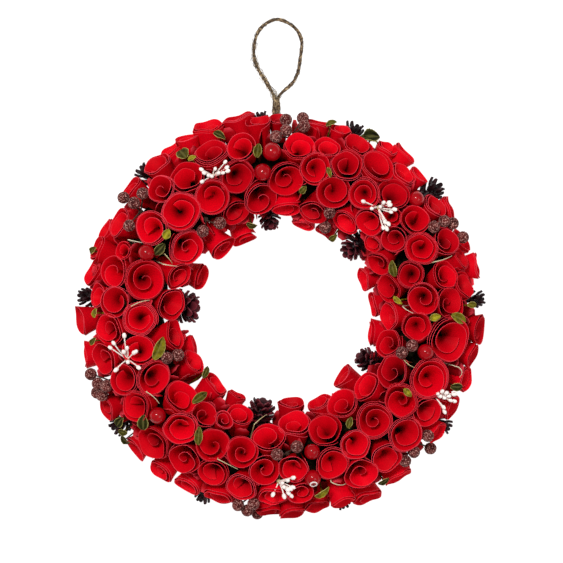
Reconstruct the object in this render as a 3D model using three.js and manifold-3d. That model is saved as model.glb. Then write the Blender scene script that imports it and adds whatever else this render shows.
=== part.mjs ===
import * as THREE from 'three';
import { mergeVertices } from 'three/addons/utils/BufferGeometryUtils.js';
import Module from 'manifold-3d';

// A wreath that lies on its flat back, face up. The origin is the middle of the ring on the back
// plane, +Y points to 12 o'clock, where the hanging loop is, and all sizes are in millimetres.

const wasm = await Module();
wasm.setup();
const { Manifold } = wasm;

// Ring
const RING_RADIUS = 132;
const RING_WIDTH = 50;
const RING_HEIGHT = 35;
const CORE_HEIGHT = 14;
const RING_SIDES = 24;
const SECTION_SIDES = 5;
const BACK_TURN = Math.asin(CORE_HEIGHT / (RING_HEIGHT - CORE_HEIGHT));
const FOOT_SINK_SHARE = 0.7;
const FOOT_REACH = (RING_HEIGHT - CORE_HEIGHT) * FOOT_SINK_SHARE;

// Moss and glue strip that the roses are stuck in
const BED_THICKNESS = 1.5;
const BED_EDGE = 1.5;

// Gap between pieces that touch
const CLEARANCE = 0.3;

// Curled roses: a cup with a funnel rolled into it, rim outward
const ROSE_REACH = 48;
const ROSE_DIAMETER = 27;
const ROSE_FOOT_SHARE = 0.25;
const ROSE_FUNNEL = 15;
const ROSE_SIDES = 6;
const ROSE_SPIN = 2.4;
const LOW_ROSES = 24;
const LOW_ROSE_SIZE = 0.85;
const LOW_ROSE_REACH = 46;

// Berries, sprays, cones and leaves
const BERRY_DIAMETER = 15;
const FROSTED_DIAMETER = 11;
const FROSTED_RISE = 2.5;
const STALK_DIAMETER = 2;
const WIRE_DIAMETER = 1.4;
const KNOB_DIAMETER = 4.4;
const PIP_DIAMETER = 3.2;
const PIP_LENGTH = 4.6;
const PIP_STEM_DIAMETER = 1;
const PIP_RISE = 5;
const SPRAY_FORK_DROP = 6;
const CONE_DIAMETER = 20;
const CONE_LENGTH = 24;
const CONE_SCALES = 4;
const CONE_POINT_PULL = 0.62;
const CONE_LEVELS = [[0.36, 0.05], [0.5, 0.4], [0.4, 0.8]];
const CONE_RISE = 5;
const LEAF_THICKNESS = 0.9;
const LEAF_RISE = 1;

// Jute twine loop
const TWINE_DIAMETER = 3.2;
const TWINE_SIDES = 6;
const TWINE_STEPS = 34;
const BINDING_LENGTH = 15;
const BINDING_WALL = 0.9;
const BINDING_SIDES = 10;

// Seating plan: x, y and width of each rose and pick, in pixels of the face-on picture, and for some
// edge roses how far their rims stand out beyond the others, in millimetres. The plan's ring centre,
// band and rose width tie it to the sizes above.
const PLAN_CENTRE_X = 281.5;
const PLAN_CENTRE_Y = 315;
const PLAN_BAND_RADIUS = 147;
const PLAN_BAND_HALF = 53.3;
const PLAN_ROSE = 30;
const PLAN_BERRY = 17;
const PLAN_CONE = 22;

const FACING_ROSES = {
  twelve: [[301, 147, 29], [325, 149, 25], [287, 176, 33], [313, 173, 30], [334, 194, 31],
    [290, 208, 27], [316, 214, 28], [264, 203, 31]],
  one: [[347, 164, 29], [363, 150, 27], [378, 166, 33], [361, 194, 29], [391, 191, 31],
    [341, 220, 26], [367, 223, 27], [409, 172, 25], [393, 217, 18]],
  two: [[438, 209, 26], [418, 224, 28], [394, 240, 24], [445, 241, 26], [416, 252, 32],
    [372, 245, 18], [379, 264, 24], [464, 257, 21]],
  three: [[447, 275, 27], [466, 284, 26], [418, 277, 26], [420, 300, 30], [451, 303, 30],
    [388, 289, 28], [388, 315, 27], [416, 328, 27], [451, 337, 42], [388, 343, 26]],
  four: [[393, 372, 31], [429, 379, 38], [365, 387, 28], [392, 403, 32], [426, 410, 30]],
  five: [[374, 423, 34], [407, 434, 33], [386, 459, 29], [354, 444, 28], [361, 472, 31],
    [343, 403, 30]],
  six: [[325, 429, 30], [334, 463, 32], [294, 469, 27], [301, 494, 24], [266, 470, 28],
    [271, 500, 27], [295, 423, 30], [269, 437, 31]],
  seven: [[241, 451, 29], [241, 487, 29], [214, 445, 31], [212, 473, 30], [237, 414, 25],
    [207, 413, 24], [220, 416, 18]],
  eight: [[181, 427, 32], [184, 459, 29], [152, 444, 33], [181, 394, 33], [159, 377, 34],
    [136, 406, 30], [125, 379, 28]],
  nine: [[137, 350, 30], [104, 359, 30], [175, 334, 30], [107, 330, 29], [140, 321, 32],
    [172, 305, 29], [115, 302, 28], [95, 295, 22], [146, 280, 38], [180, 276, 28], [113, 272, 29]],
  ten: [[188, 247, 33], [149, 224, 32], [181, 212, 37], [119, 222, 28], [122, 250, 17]],
  eleven: [[158, 190, 26], [184, 177, 31], [211, 151, 32], [241, 149, 28], [240, 178, 33],
    [213, 196, 32], [238, 213, 26]],
};
const OUTER_ROSES = {
  twelve: [[277, 121, 18], [260, 131, 24, 2], [234, 122, 32, 6], [318, 126, 22], [341, 139, 20, 2]],
  oneToFour: [[384, 154, 20, 4], [403, 156, 25, 6], [413, 185, 20, 2], [450, 210, 26, 4], [474, 267, 24, 4],
    [476, 330, 28, 2], [466, 355, 24], [461, 378, 24], [452, 408, 24]],
  fiveToSeven: [[434, 427, 22, 2], [396, 475, 28, 5], [366, 496, 30, 6], [340, 493, 24, 3], [314, 503, 24],
    [290, 509, 26, 2], [270, 511, 24, 2], [215, 493, 28], [190, 481, 26]],
  eightToEleven: [[163, 468, 26, 2], [135, 450, 26, 4], [113, 402, 24, 2], [85, 355, 26, 4],
    [85, 321, 28, 3],
    [94, 269, 26], [104, 248, 24], [105, 235, 22], [134, 187, 24], [163, 167, 27, 2],
    [178, 150, 24, 2], [193, 140, 22, 5], [205, 134, 30, 6]],
};
const INNER_ROSES = {
  right: [[303, 224, 22, 2], [324, 232, 18, 3], [367, 278, 22, 4], [372, 305, 24, 2], [371, 333, 26, 4],
    [346, 380, 24, 8], [320, 404, 24], [292, 411, 24, 6]],
  left: [[236, 397, 18], [214, 386, 26, 2], [189, 364, 24, 1], [193, 346, 20], [198, 276, 24, 5],
    [217, 240, 26, 8], [241, 233, 24, 8]],
};
const GLOSSY_BERRIES = [[272, 152, 19], [262, 175, 18], [416, 202, 16], [423, 353, 17],
  [312, 451, 16], [313, 475, 17], [158, 415, 17], [147, 253, 17]];
const FROSTED_SPRIGS = [
  [[276, 137], [288, 132], [286, 119], [303, 117], [304, 126]],
  [[431, 226], [444, 218], [453, 223], [464, 237]],
  [[329, 214], [322, 224]],
  [[413, 344], [403, 352]],
  [[428, 436], [432, 450], [413, 453], [406, 460]],
  [[238, 506], [255, 504], [247, 512], [260, 518]],
  [[276, 452], [297, 446]],
  [[89, 375], [97, 384], [106, 386], [92, 395], [101, 398]],
  [[178, 355], [166, 360]],
  [[123, 195], [134, 203], [147, 192], [131, 224]],
  [[220, 223], [202, 232]],
];
const PIP_SPRAYS = [
  { root: [213, 175], pips: [[200, 169], [203, 173], [201, 183], [216, 168], [220, 173],
    [227, 161], [229, 167], [230, 171]] },
  { root: [378, 208], pips: [[361, 201], [370, 209], [384, 202], [390, 202], [396, 210],
    [392, 213], [385, 224], [387, 231]] },
  { root: [436, 397], pips: [[438, 393], [443, 390], [448, 392], [446, 398], [451, 396],
    [457, 394], [453, 401]] },
  { root: [128, 358], pips: [[109, 346], [113, 341], [124, 350], [128, 346], [136, 351],
    [138, 350], [129, 362], [115, 371], [141, 368]] },
  { root: [279, 484], pips: [[283, 482], [289, 479], [295, 476], [295, 487], [289, 490],
    [293, 497], [285, 498], [272, 496]] },
];
const OUTER_CONES = [[261, 120, 18], [351, 131, 24], [431, 187, 26], [480, 299, 18],
  [443, 428, 18], [342, 500, 18], [208, 498, 20], [116, 428, 22], [84, 297, 20], [142, 173, 22]];
const INNER_CONES = [[270, 224, 22], [352, 249, 24], [366, 360, 25], [261, 410, 28],
  [189, 308, 34]];
const LEAVES = [
  { at: [371, 139], length: 24, width: 14, turn: 0.5 },
  { at: [183, 154], length: 18, width: 13, turn: 1.9 },
  { at: [457, 321], length: 20, width: 10, turn: 0.2 },
  { at: [159, 348], length: 26, width: 11, turn: 1.5 },
  { at: [198, 397], length: 22, width: 8, turn: 1.0 },
  { at: [322, 492], length: 19, width: 7, turn: 1.0 },
];

const OUTER_LIFT_SHARE = 0.42;
const INNER_LIFT_SHARE = 0.68;
const SETTLE_ROUNDS = 60;
const SETTLE_STEP = 0.35;
const HOME_PULL = 0.04;
const MERGE_DISTANCE = 1e-4;
const SIMPLIFY_DISTANCE = 0.01;
const UP = new THREE.Vector3(0, 1, 0);

// Materials
function finish(color, roughness) {
  return new THREE.MeshStandardMaterial({ color, roughness, metalness: 0, flatShading: true });
}
const MOSS = finish(0x20241a, 0.95);
const ROSE_WOOD = finish(0xcc0814, 0.6);
const GLOSSY_RED = finish(0xc00a12, 0.2);
const FROSTED = finish(0x8a5f5b, 0.9);
const PIP_WHITE = finish(0xf6e6dc, 0.55);
const CONE_BROWN = finish(0x2a1715, 0.8);
const LEAF_GREEN = finish(0x676e2c, 0.7);
const JUTE = finish(0x9a8060, 0.9);

// Closed geometry to solid and back
function solidFrom(geometry) {
  const bare = new THREE.BufferGeometry();
  bare.setAttribute('position', geometry.getAttribute('position').clone());
  if (geometry.index) bare.setIndex(geometry.index.clone());
  const merged = mergeVertices(bare, MERGE_DISTANCE);
  const corners = [];
  for (let i = 0; i < merged.index.count; i += 3) {
    const [a, b, c] = [0, 1, 2].map((k) => merged.index.getX(i + k));
    if (a !== b && b !== c && c !== a) corners.push(a, b, c);
  }
  return new Manifold(new wasm.Mesh({
    numProp: 3,
    vertProperties: new Float32Array(merged.getAttribute('position').array),
    triVerts: new Uint32Array(corners),
  }));
}

function geometryFrom(solid) {
  const mesh = solid.getMesh();
  const geometry = new THREE.BufferGeometry();
  geometry.setAttribute('position', new THREE.BufferAttribute(mesh.vertProperties, 3));
  geometry.setIndex(new THREE.BufferAttribute(mesh.triVerts, 1));
  geometry.computeVertexNormals();
  return geometry;
}

// Fuses shapes, cuts others away and keeps the largest body, without crumbs left by a cut
function fuse(shapes, cutters = []) {
  let solid = Manifold.union(shapes);
  if (cutters.length > 0) solid = solid.subtract(Manifold.union(cutters));
  const bodies = solid.simplify(SIMPLIFY_DISTANCE).decompose();
  return bodies.reduce((big, body) => (body.volume() > big.volume() ? body : big));
}

// Turns a geometry whose axis is +Y to an axis and moves its origin to a place
function aim(geometry, place, axis, spin = 0) {
  const turn = new THREE.Quaternion().setFromUnitVectors(UP, axis);
  return geometry.rotateY(spin).applyQuaternion(turn).translate(place.x, place.y, place.z);
}

// A round solid with few sides from its half profile, given as radius and height pairs
function turned(profile, sides) {
  return new THREE.LatheGeometry(profile.map(([r, h]) => new THREE.Vector2(r, h)), sides);
}

// A straight tapered stick between two places
function stick(from, to, radiusFrom, radiusTo, sides = 3) {
  const along = new THREE.Vector3().subVectors(to, from);
  const length = along.length();
  const rod = turned([[0, 0], [radiusFrom, 0], [radiusTo, length], [0, length]], sides);
  return solidFrom(aim(rod, from, along.normalize()));
}

// Places around the ring: clock is the angle from 12 o'clock, lift the angle about the core line from
// straight out over the front to straight in, and reach the distance from the core line
function spot(clock, lift, reach) {
  const out = RING_RADIUS + reach * Math.cos(lift);
  return new THREE.Vector3(
    out * Math.sin(clock), out * Math.cos(clock), CORE_HEIGHT + reach * Math.sin(lift));
}

function outward(clock, lift) {
  return new THREE.Vector3(
    Math.cos(lift) * Math.sin(clock), Math.cos(lift) * Math.cos(clock), Math.sin(lift));
}

// Seat of a thing in the plan. An edge rose leans further over than its place alone would give.
function seat(x, y, radius, edge = 'face', rise = 0) {
  const across = x - PLAN_CENTRE_X;
  const up = PLAN_CENTRE_Y - y;
  const half = (PLAN_BAND_HALF * (ROSE_REACH + rise)) / ROSE_REACH;
  const share = (Math.hypot(across, up) - PLAN_BAND_RADIUS) / half;
  let lift = Math.acos(THREE.MathUtils.clamp(share, -1, 1));
  if (edge === 'outer') lift *= OUTER_LIFT_SHARE;
  if (edge === 'inner') lift = Math.PI - (Math.PI - lift) * INNER_LIFT_SHARE;
  const clock = Math.atan2(across, up);
  return { clock, lift, homeClock: clock, homeLift: lift, radius, reach: ROSE_REACH };
}

function rosesFrom(groups, edge) {
  return Object.values(groups).flat().map(([x, y, width, beyond = 0]) => ({
    ...seat(x, y, ROSE_DIAMETER * width / PLAN_ROSE / 2, edge), reach: ROSE_REACH + beyond }));
}

// Roses low on the outer side, where the plan leaves room under the others
function lowRoses(seated) {
  const radius = ROSE_DIAMETER * LOW_ROSE_SIZE / 2;
  const low = [];
  for (let k = 0; k < LOW_ROSES; k += 1) {
    const clock = (2 * Math.PI * (k + 0.5)) / LOW_ROSES;
    const rose = {
      clock, lift: 0, homeClock: clock, homeLift: 0, radius, reach: LOW_ROSE_REACH };
    const free = seated.every((other) => (
      distance(rose, other) > (radius + other.radius) * LOW_ROSE_SIZE));
    if (free) low.push(rose);
  }
  return low;
}

function distance(a, b) {
  return spot(a.clock, a.lift, a.reach).distanceTo(spot(b.clock, b.lift, b.reach));
}

// Lets neighbours push each other apart over the front until their rims clear, then trims what
// still presses
function settle(things) {
  for (let round = 0; round < SETTLE_ROUNDS; round += 1) {
    for (const a of things) {
      for (const b of things) {
        if (a === b) continue;
        const from = spot(b.clock, b.lift, b.reach);
        const push = spot(a.clock, a.lift, a.reach).sub(from);
        const over = a.radius + b.radius + CLEARANCE - push.length();
        if (over <= 0) continue;
        push.setLength(over * SETTLE_STEP);
        const around = new THREE.Vector3(Math.cos(a.clock), -Math.sin(a.clock), 0);
        const overFront = outward(a.clock, a.lift + Math.PI / 2);
        a.clock += push.dot(around) / (RING_RADIUS + a.reach * Math.cos(a.lift));
        a.lift += push.dot(overFront) / a.reach;
      }
      a.clock += (a.homeClock - a.clock) * HOME_PULL;
      a.lift += (a.homeLift - a.lift) * HOME_PULL;
      const lowest = Math.max(0, (a.radius + BED_EDGE - CORE_HEIGHT) / a.reach);
      a.lift = THREE.MathUtils.clamp(a.lift, lowest, Math.PI - lowest);
    }
  }
  for (const a of things) {
    let limit = a.radius;
    for (const b of things) {
      if (a === b) continue;
      const room = distance(a, b) - CLEARANCE;
      if (room < a.radius + b.radius) {
        limit = Math.min(limit, (room * a.radius) / (a.radius + b.radius));
      }
    }
    a.fitted = limit;
  }
}

// Ring solid: a D-section turned about Z, grown by an offset, down to a bottom
function ringSolid(offset, bottom) {
  const halfWidth = RING_WIDTH / 2 + offset;
  const rise = RING_HEIGHT - CORE_HEIGHT + offset;
  const outline = [];
  for (let k = 0; k <= SECTION_SIDES; k += 1) {
    const turn = -BACK_TURN + (k / SECTION_SIDES) * (Math.PI + 2 * BACK_TURN);
    const height = CORE_HEIGHT + rise * Math.sin(turn);
    outline.push([RING_RADIUS + halfWidth * Math.cos(turn), height]);
  }
  outline[0][1] = bottom;
  outline[SECTION_SIDES][1] = bottom;
  outline.push(outline[0]);
  return solidFrom(turned(outline, RING_SIDES).rotateX(Math.PI / 2));
}

// Pie slice of one clock hour, from the strip's edge up
function hourSlice(hour) {
  const far = RING_RADIUS * 2;
  const half = Math.PI / 12 - CLEARANCE / 2 / (RING_RADIUS - RING_WIDTH / 2);
  const middle = (hour * Math.PI) / 6;
  const slice = new THREE.Shape();
  slice.moveTo(0, 0);
  for (const clock of [middle + half, middle, middle - half]) {
    slice.lineTo(far * Math.sin(clock), far * Math.cos(clock));
  }
  slice.closePath();
  const geometry = new THREE.ExtrudeGeometry(slice, { depth: RING_HEIGHT * 2, bevelEnabled: false });
  return solidFrom(geometry.translate(0, 0, BED_EDGE));
}

// A rolled rose with its rim at the reach and its foot in the ring
function roseCup(rose, grow = 0, funnel = ROSE_FUNNEL * rose.fitted * 2 / ROSE_DIAMETER) {
  const height = rose.reach - FOOT_REACH;
  const foot = rose.fitted * ROSE_FOOT_SHARE + grow;
  const profile = [[0, -height], [foot, -height], [rose.fitted + grow, grow], [0, grow - funnel]];
  const rim = spot(rose.clock, rose.lift, rose.reach);
  return solidFrom(aim(turned(profile, ROSE_SIDES), rim, outward(rose.clock, rose.lift), rose.spin));
}

// The same rose filled and grown, which its neighbours keep clear of
function roseRoom(rose) {
  return roseCup(rose, CLEARANCE / Math.cos(Math.PI / ROSE_SIDES), 0);
}

// Knob where thin stems part from their stalk
function knob(place, grow) {
  const ball = new THREE.OctahedronGeometry(KNOB_DIAMETER / 2 + grow);
  return solidFrom(ball.translate(place.x, place.y, place.z));
}

// Glossy berry on its stalk
function glossyBerry(berry, grow) {
  const place = spot(berry.clock, berry.lift, berry.reach);
  const ball = turned(ballProfile(berry.radius + grow, 4), 7);
  const foot = spot(berry.clock, berry.lift, FOOT_REACH);
  return [solidFrom(aim(ball, place, outward(berry.clock, berry.lift))),
    stick(foot, place, STALK_DIAMETER / 2 + grow, STALK_DIAMETER / 2 + grow)];
}

function ballProfile(radius, steps) {
  const profile = [];
  for (let k = 0; k <= steps; k += 1) {
    const turn = -Math.PI / 2 + (Math.PI * k) / steps;
    const across = k === 0 || k === steps ? 0 : radius * Math.cos(turn);
    profile.push([across, radius * Math.sin(turn)]);
  }
  return profile;
}

// Frosted berries on wires that fork from one stalk in their middle
function frostedSprig(berries, grow) {
  const across = berries.reduce((sum, berry) => sum + Math.sin(berry.clock), 0);
  const up = berries.reduce((sum, berry) => sum + Math.cos(berry.clock), 0);
  const clock = Math.atan2(across, up);
  const lift = berries.reduce((sum, berry) => sum + berry.lift, 0) / berries.length;
  const foot = spot(clock, lift, FOOT_REACH);
  const fork = spot(clock, lift, ROSE_REACH - SPRAY_FORK_DROP * 2);
  const stalk = STALK_DIAMETER / 2 + grow;
  const shapes = [stick(foot, fork, stalk, stalk), knob(fork, grow)];
  for (const berry of berries) {
    const place = spot(berry.clock, berry.lift, berry.reach + FROSTED_RISE);
    const ball = new THREE.IcosahedronGeometry(berry.fitted + grow, 0);
    shapes.push(solidFrom(ball.translate(place.x, place.y, place.z)));
    shapes.push(stick(fork, place, WIRE_DIAMETER / 2 + grow, WIRE_DIAMETER / 2 + grow));
  }
  return shapes;
}

// White pips on thin stems that fork from one short stalk
function pipSpray(spray, grow) {
  const root = spray.seat;
  const foot = spot(root.clock, root.lift, FOOT_REACH);
  const fork = spot(root.clock, root.lift, ROSE_REACH - SPRAY_FORK_DROP);
  const stalk = STALK_DIAMETER / 2 + grow;
  const shapes = [stick(foot, fork, stalk, stalk), knob(fork, grow)];
  for (const pip of spray.pips) {
    const tip = spot(pip.clock, pip.lift, ROSE_REACH + PIP_RISE);
    const along = new THREE.Vector3().subVectors(tip, fork);
    const length = along.length();
    const stem = PIP_STEM_DIAMETER / 2 + grow;
    const head = PIP_DIAMETER / 2 + grow;
    const profile = [[0, 0], [stem, 0], [stem, length - PIP_LENGTH], [head, length - PIP_LENGTH / 3],
      [0, length + grow]];
    shapes.push(solidFrom(aim(turned(profile, 3), fork, along.normalize())));
  }
  return shapes;
}

// Small cone: rings of pointed scales, alternate points long, around a tapered core
function cone(thing, grow) {
  const width = thing.fitted * 2;
  const points = CONE_SCALES * 2;
  const rings = CONE_LEVELS.map(([r, h]) => [r * width + grow, h * CONE_LENGTH]);
  const profile = [[0, 0], ...rings, [0, CONE_LENGTH + grow]];
  const body = turned(profile, points);
  const corners = body.getAttribute('position');
  for (let i = 0; i < corners.count; i += 1) {
    const column = Math.floor(i / profile.length) % points;
    const level = i % profile.length;
    const pull = (column + level) % 2 === 0 ? 1 : CONE_POINT_PULL;
    corners.setXYZ(i, corners.getX(i) * pull, corners.getY(i), corners.getZ(i) * pull);
  }
  const axis = outward(thing.clock, thing.lift);
  const start = spot(thing.clock, thing.lift, ROSE_REACH + CONE_RISE - CONE_LENGTH);
  const foot = spot(thing.clock, thing.lift, FOOT_REACH);
  const stalk = STALK_DIAMETER / 2 + grow;
  const inside = spot(thing.clock, thing.lift, ROSE_REACH + CONE_RISE - CONE_LENGTH / 2);
  return [solidFrom(aim(body, start, axis)), stick(foot, inside, stalk, stalk)];
}

// Pointed leaf lying over the front on a short stalk
function leaf(thing, grow) {
  const outline = new THREE.Shape();
  const half = thing.leafLength / 2 + grow;
  const side = thing.leafWidth / 2 + grow;
  outline.moveTo(-half, 0);
  outline.quadraticCurveTo(0, -side * 2, half, 0);
  outline.quadraticCurveTo(0, side * 2, -half, 0);
  const depth = LEAF_THICKNESS + grow * 2;
  const blade = new THREE.ExtrudeGeometry(outline, { depth, bevelEnabled: false, curveSegments: 4 });
  blade.translate(0, 0, -depth / 2).rotateZ(thing.turn).rotateX(-Math.PI / 2);
  const place = spot(thing.clock, thing.lift, ROSE_REACH + LEAF_RISE);
  const foot = spot(thing.clock, thing.lift, FOOT_REACH);
  const stalk = STALK_DIAMETER / 2 + grow;
  const axis = outward(thing.clock, thing.lift);
  return [solidFrom(aim(blade, place, axis)), stick(foot, place, stalk, stalk)];
}

// Hanging loop: across, beyond the ring's top edge, and height
const LOOP_START = RING_RADIUS + RING_WIDTH / 2;
const NECK_BEYOND = 35.0;
const LOOP_ROUTE = [
  [-1.8, 2.9, 8], [-2.2, 13.6, 6.5], [-2.6, 26.6, 4.8], [-2.9, 35, 3.8], [-1.7, 42.1, 2.7],
  [2.7, 47.7, 1.9], [8.2, 52.7, 1.8], [12.8, 59.3, 1.8], [15.6, 66.7, 1.8], [17, 76.5, 1.8],
  [18.4, 87.2, 1.8], [17.9, 95.6, 1.8], [14.2, 103.1, 1.8], [6, 109.8, 1.8], [-4.2, 113, 1.8],
  [-14.2, 109.2, 1.8], [-21.1, 102.1, 1.8], [-24.7, 91, 1.8], [-24.9, 77.9, 1.8],
  [-20.6, 66.3, 1.8], [-15.2, 57.4, 1.8], [-10.1, 49, 1.9], [-7.2, 42.1, 2.7], [-6.8, 35, 3.8],
  [-6.9, 26.6, 4.8], [-7.3, 13.6, 6.5], [-7.8, 2.9, 8],
];

function twine(grow) {
  const places = LOOP_ROUTE.map(([x, beyond, z]) => new THREE.Vector3(x, LOOP_START + beyond, z));
  const path = new THREE.CatmullRomCurve3(places, false, 'centripetal');
  const section = new THREE.Shape();
  const radius = TWINE_DIAMETER / 2 + grow;
  for (let k = 0; k < TWINE_SIDES; k += 1) {
    const turn = (2 * Math.PI * k) / TWINE_SIDES;
    const [x, y] = [radius * Math.cos(turn), radius * Math.sin(turn)];
    if (k === 0) section.moveTo(x, y);
    else section.lineTo(x, y);
  }
  section.closePath();
  const options = { steps: TWINE_STEPS, extrudePath: path, bevelEnabled: false };
  return solidFrom(new THREE.ExtrudeGeometry(section, options));
}

// Binding wound round both legs at the neck
function binding() {
  const legs = LOOP_ROUTE.filter(([, beyond]) => beyond === NECK_BEYOND);
  const middle = (legs[0][0] + legs[1][0]) / 2;
  const spread = Math.abs(legs[0][0] - legs[1][0]);
  const tall = TWINE_DIAMETER / 2 + BINDING_WALL;
  const profile = [[0, 0], [tall, 0], [tall, BINDING_LENGTH], [0, BINDING_LENGTH]];
  const sleeve = turned(profile, BINDING_SIDES);
  sleeve.scale((spread / 2 + tall) / tall, 1, 1);
  sleeve.translate(middle, LOOP_START + NECK_BEYOND - BINDING_LENGTH / 2, legs[0][2]);
  return fuse([solidFrom(sleeve)], [twine(CLEARANCE)]);
}

// Seats
const facing = rosesFrom(FACING_ROSES, 'face');
const outer = rosesFrom(OUTER_ROSES, 'outer');
const inner = rosesFrom(INNER_ROSES, 'inner');
const berries = GLOSSY_BERRIES.map(([x, y, width]) => (
  seat(x, y, BERRY_DIAMETER * width / PLAN_BERRY / 2)));
const sprigs = FROSTED_SPRIGS.map((places) => (
  places.map(([x, y]) => seat(x, y, FROSTED_DIAMETER / 2, 'face', FROSTED_RISE))));
const outerCones = OUTER_CONES.map(([x, y, width]) => (
  seat(x, y, CONE_DIAMETER * width / PLAN_CONE / 2, 'outer')));
const innerCones = INNER_CONES.map(([x, y, width]) => (
  seat(x, y, CONE_DIAMETER * width / PLAN_CONE / 2, 'inner')));
const cones = [...outerCones, ...innerCones];
const sprays = PIP_SPRAYS.map(({ root, pips }) => ({
  seat: seat(...root, STALK_DIAMETER),
  pips: pips.map(([x, y]) => seat(x, y, PIP_DIAMETER / 2, 'face', PIP_RISE)) }));
const leaves = LEAVES.map(({ at, length, width, turn }) => ({
  ...seat(...at, STALK_DIAMETER), turn,
  leafLength: length * ROSE_DIAMETER / PLAN_ROSE, leafWidth: width * ROSE_DIAMETER / PLAN_ROSE }));
const planned = [...facing, ...outer, ...inner];
const picks = [...berries, ...sprigs.flat(), ...cones, ...sprays.map((spray) => spray.seat), ...leaves];
const roses = [...planned, ...lowRoses([...planned, ...picks])];
settle([...roses, ...picks]);
roses.forEach((rose, k) => { rose.spin = k * ROSE_SPIN; });

// Solids
const ring = ringSolid(0, 0);
const ringRoom = ringSolid(CLEARANCE, -CLEARANCE);
const strip = ringSolid(CLEARANCE + BED_THICKNESS, -CLEARANCE);
const stripRoom = ringSolid(CLEARANCE * 2 + BED_THICKNESS, -CLEARANCE);

// Each pick gives way to those set before it
const picked = [];
const rooms = [twine(CLEARANCE)];
function addPick(name, material, make) {
  picked.push({ name, material, solid: fuse(make(0), [stripRoom, ...rooms]) });
  rooms.push(Manifold.union(make(CLEARANCE)));
}
berries.forEach((berry, k) => {
  addPick(`glossy_berry_${k + 1}`, GLOSSY_RED, (grow) => glossyBerry(berry, grow));
});
cones.forEach((thing, k) => addPick(`cone_${k + 1}`, CONE_BROWN, (grow) => cone(thing, grow)));
sprigs.forEach((group, k) => {
  addPick(`frosted_sprig_${k + 1}`, FROSTED, (grow) => frostedSprig(group, grow));
});
sprays.forEach((spray, k) => {
  addPick(`pip_spray_${k + 1}`, PIP_WHITE, (grow) => pipSpray(spray, grow));
});
leaves.forEach((thing, k) => addPick(`leaf_${k + 1}`, LEAF_GREEN, (grow) => leaf(thing, grow)));

// Roses of each clock hour with their strip
function hourOf(thing) {
  return (Math.round((thing.clock * 6) / Math.PI) + 12) % 12;
}
const clusters = [];
for (let hour = 0; hour < 12; hour += 1) {
  const own = roses.filter((rose) => hourOf(rose) === hour);
  const others = roses.filter((rose) => [1, 11].includes((hourOf(rose) - hour + 12) % 12));
  const bed = strip.intersect(hourSlice(hour)).subtract(Manifold.union(others.map(roseRoom)));
  const cups = own.map((rose) => roseCup(rose));
  const before = others.filter((rose) => hourOf(rose) < hour).map(roseRoom);
  const solid = fuse([bed, ...cups], [ringRoom, ...rooms, ...before]);
  clusters.push({ name: `roses_${String(hour || 12).padStart(2, '0')}_oclock`, solid });
}

// The wreath
const wreath = new THREE.Group();
function add(name, solid, material) {
  const mesh = new THREE.Mesh(geometryFrom(solid), material);
  mesh.name = name;
  wreath.add(mesh);
}
add('ring_base', ring, MOSS);
clusters.forEach(({ name, solid }) => add(name, solid, ROSE_WOOD));
picked.forEach(({ name, solid, material }) => add(name, solid, material));
add('hanging_loop', twine(0), JUTE);
add('loop_binding', binding(), JUTE);

export default wreath;
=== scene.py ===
import math
import random

import bmesh
import bpy
import numpy as np
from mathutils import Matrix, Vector, noise


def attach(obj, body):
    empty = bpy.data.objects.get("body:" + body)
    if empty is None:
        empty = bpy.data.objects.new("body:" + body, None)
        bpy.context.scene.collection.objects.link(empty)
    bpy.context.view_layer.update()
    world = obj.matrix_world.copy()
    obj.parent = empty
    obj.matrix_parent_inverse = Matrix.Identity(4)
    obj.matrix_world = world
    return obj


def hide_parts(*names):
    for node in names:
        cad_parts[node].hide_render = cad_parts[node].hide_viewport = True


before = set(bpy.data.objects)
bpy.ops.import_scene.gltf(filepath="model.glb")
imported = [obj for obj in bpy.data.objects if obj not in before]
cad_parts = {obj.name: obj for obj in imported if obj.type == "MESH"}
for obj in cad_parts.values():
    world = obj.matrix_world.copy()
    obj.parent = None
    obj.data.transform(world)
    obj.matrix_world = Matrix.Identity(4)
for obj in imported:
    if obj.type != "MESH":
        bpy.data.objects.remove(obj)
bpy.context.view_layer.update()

# Looks of a rose wreath that lies face up. Lengths are in millimetres until a mesh is made.
MM = 0.001
SEED = 11

# Sizes that the solids were built with
RING_RADIUS = 132
RING_WIDTH = 50
RING_HEIGHT = 35
CORE_HEIGHT = 14
BED_EDGE = 1.5
CLEARANCE = 0.3
FOOT_REACH = 14.7
ROSE_REACH = 48
ROSE_DIAMETER = 27
ROSE_FOOT_SHARE = 0.25
LOW_ROSES = 24
LOW_ROSE_SIZE = 0.85
LOW_ROSE_REACH = 46
BERRY_DIAMETER = 15
FROSTED_DIAMETER = 11
FROSTED_RISE = 2.5
STALK_DIAMETER = 2
WIRE_DIAMETER = 1.4
KNOB_DIAMETER = 4.4
PIP_DIAMETER = 3.2
PIP_LENGTH = 4.6
PIP_STEM_DIAMETER = 1
PIP_RISE = 5
SPRAY_FORK_DROP = 6
CONE_DIAMETER = 20
CONE_LENGTH = 24
CONE_RISE = 5
LEAF_RISE = 1
TWINE_DIAMETER = 3.2
BINDING_LENGTH = 15

# Seating plan in pixels of the face-on picture: x, y and width, and for some edge roses how far
# their rims stand out beyond the others, in millimetres
PLAN_CENTRE_X = 281.5
PLAN_CENTRE_Y = 315
PLAN_BAND_RADIUS = 147
PLAN_BAND_HALF = 53.3
PLAN_ROSE = 30
PLAN_BERRY = 17
PLAN_CONE = 22
PLAN_SCALE = ROSE_DIAMETER / PLAN_ROSE
OUTER_LIFT_SHARE = 0.42
INNER_LIFT_SHARE = 0.68
SETTLE_ROUNDS = 60
SETTLE_STEP = 0.35
HOME_PULL = 0.04
SETTLE_MARGIN = 4

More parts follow.
